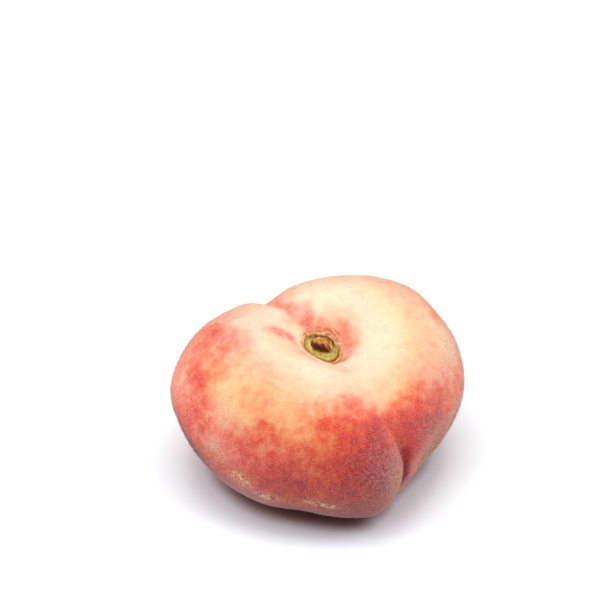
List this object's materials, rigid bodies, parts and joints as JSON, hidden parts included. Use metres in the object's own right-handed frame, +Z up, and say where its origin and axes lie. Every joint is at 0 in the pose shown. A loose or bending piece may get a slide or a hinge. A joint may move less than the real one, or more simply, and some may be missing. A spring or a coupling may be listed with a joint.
{
  "type": "flat peach",
  "caption": "Squat ripe flat peach with a deep leaning stalk socket, a seam groove and the torn stalk base left in it; a whole fruit to stand on a table or fill a bowl.",
  "frame": {"origin": "middle of the fruit's bounding box, on the surface it rests on", "axes": "+Z up along the fruit's short axis; the seam groove runs down towards +X and -Y, the sharp crease lies towards -X and +Y"},
  "size_m": [0.0692, 0.0632, 0.0412],
  "materials": {
    "skin": "velvety, cream yellow with an orange to crimson blush and a pale down",
    "stalk_collar": "moist yellow green stalk tissue with a brown edge",
    "stalk_wood": "rough torn fibres, amber to dark brown"
  },
  "bodies": {
    "root": {"fruit": "skin", "stalk_collar": "stalk_collar", "stalk_stub": "stalk_wood"}
  },
  "joints": []
}
